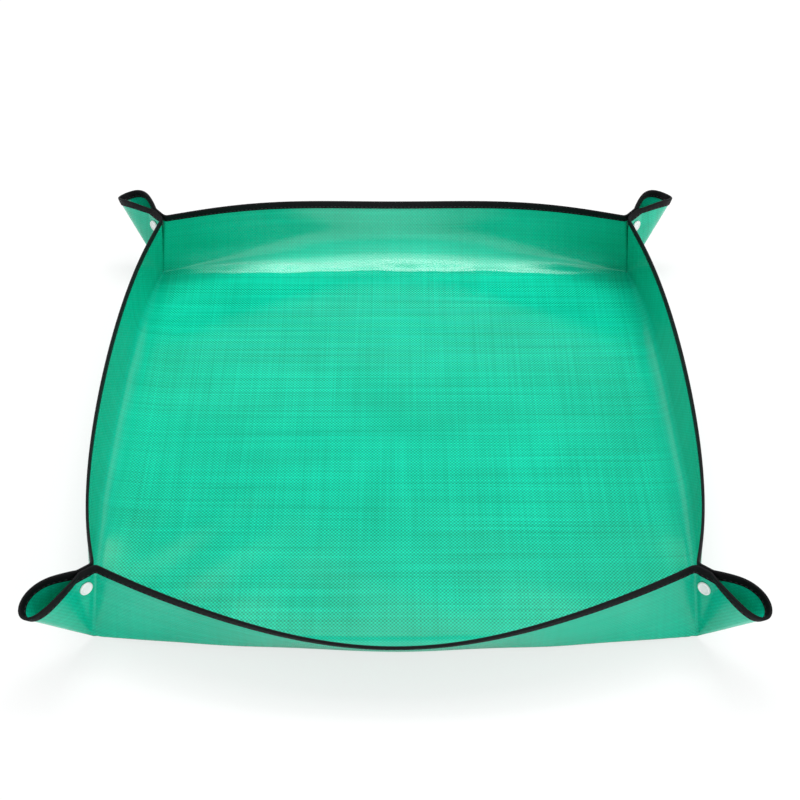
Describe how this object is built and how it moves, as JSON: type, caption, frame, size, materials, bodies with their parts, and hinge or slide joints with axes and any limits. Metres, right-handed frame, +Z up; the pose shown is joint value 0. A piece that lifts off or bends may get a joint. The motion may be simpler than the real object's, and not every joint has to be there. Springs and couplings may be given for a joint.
{
  "type": "potting soil tray",
  "caption": "Square waterproof mat whose border folds up into a shallow open tray, held by a press stud in the ear at each corner, with a bound edge.",
  "frame": {"origin": "middle of the tray's underside, on the surface it stands on", "axes": "+Z up, +X to the right and -Y to the front as pictured; the front and back walls lean out more than the side walls"},
  "size_m": [0.4464, 0.4648, 0.0631],
  "materials": {
    "green_sheet": "coated woven sheet, satin, fine twill-like weave",
    "black_tape": "woven tape, slight sheen, stitched",
    "white_cap": "moulded, semi-gloss",
    "white_stud": "moulded, semi-gloss"
  },
  "bodies": {
    "tray": {"mat_sheet": "green_sheet", "edge_binding": "black_tape"},
    "front_left_stud_half": {"front_left_stud_cap": "white_cap", "front_left_stud": "white_stud"},
    "front_left_socket_half": {"front_left_socket_cap": "white_cap", "front_left_socket": "white_stud"},
    "front_right_stud_half": {"front_right_stud_cap": "white_cap", "front_right_stud": "white_stud"},
    "front_right_socket_half": {"front_right_socket_cap": "white_cap", "front_right_socket": "white_stud"},
    "back_right_stud_half": {"back_right_stud_cap": "white_cap", "back_right_stud": "white_stud"},
    "back_right_socket_half": {"back_right_socket_cap": "white_cap", "back_right_socket": "white_stud"},
    "back_left_stud_half": {"back_left_stud_cap": "white_cap", "back_left_stud": "white_stud"},
    "back_left_socket_half": {"back_left_socket_cap": "white_cap", "back_left_socket": "white_stud"}
  },
  "joints": [
    {"name": "front_left_stud_open", "type": "hinge", "parent": "tray", "child": "front_left_stud_half", "pos_m": [-0.19, -0.19, 0.00025], "axis": [-0.4353, -0.4353, 0.788], "range_deg": [0, 20], "deforming": ["mat_sheet", "edge_binding"]},
    {"name": "front_left_socket_open", "type": "hinge", "parent": "tray", "child": "front_left_socket_half", "pos_m": [-0.19, -0.19, 0.00025], "axis": [-0.4353, -0.4353, 0.788], "range_deg": [-20, 0], "deforming": ["mat_sheet", "edge_binding"]},
    {"name": "front_right_stud_open", "type": "hinge", "parent": "tray", "child": "front_right_stud_half", "pos_m": [0.19, -0.19, 0.00025], "axis": [0.4353, -0.4353, 0.788], "range_deg": [0, 20], "deforming": ["mat_sheet", "edge_binding"]},
    {"name": "front_right_socket_open", "type": "hinge", "parent": "tray", "child": "front_right_socket_half", "pos_m": [0.19, -0.19, 0.00025], "axis": [0.4353, -0.4353, 0.788], "range_deg": [-20, 0], "deforming": ["mat_sheet", "edge_binding"]},
    {"name": "back_right_stud_open", "type": "hinge", "parent": "tray", "child": "back_right_stud_half", "pos_m": [0.19, 0.19, 0.00025], "axis": [0.4353, 0.4353, 0.788], "range_deg": [0, 20], "deforming": ["mat_sheet", "edge_binding"]},
    {"name": "back_right_socket_open", "type": "hinge", "parent": "tray", "child": "back_right_socket_half", "pos_m": [0.19, 0.19, 0.00025], "axis": [0.4353, 0.4353, 0.788], "range_deg": [-20, 0], "deforming": ["mat_sheet", "edge_binding"]},
    {"name": "back_left_stud_open", "type": "hinge", "parent": "tray", "child": "back_left_stud_half", "pos_m": [-0.19, 0.19, 0.00025], "axis": [-0.4353, 0.4353, 0.788], "range_deg": [0, 20], "deforming": ["mat_sheet", "edge_binding"]},
    {"name": "back_left_socket_open", "type": "hinge", "parent": "tray", "child": "back_left_socket_half", "pos_m": [-0.19, 0.19, 0.00025], "axis": [-0.4353, 0.4353, 0.788], "range_deg": [-20, 0], "deforming": ["mat_sheet", "edge_binding"]}
  ],
  "couplings": [
    {"joint": "front_left_socket_open", "follows": "front_left_stud_open", "ratio": -1},
    {"joint": "front_right_socket_open", "follows": "front_right_stud_open", "ratio": -1},
    {"joint": "back_right_socket_open", "follows": "back_right_stud_open", "ratio": -1},
    {"joint": "back_left_socket_open", "follows": "back_left_stud_open", "ratio": -1}
  ]
}
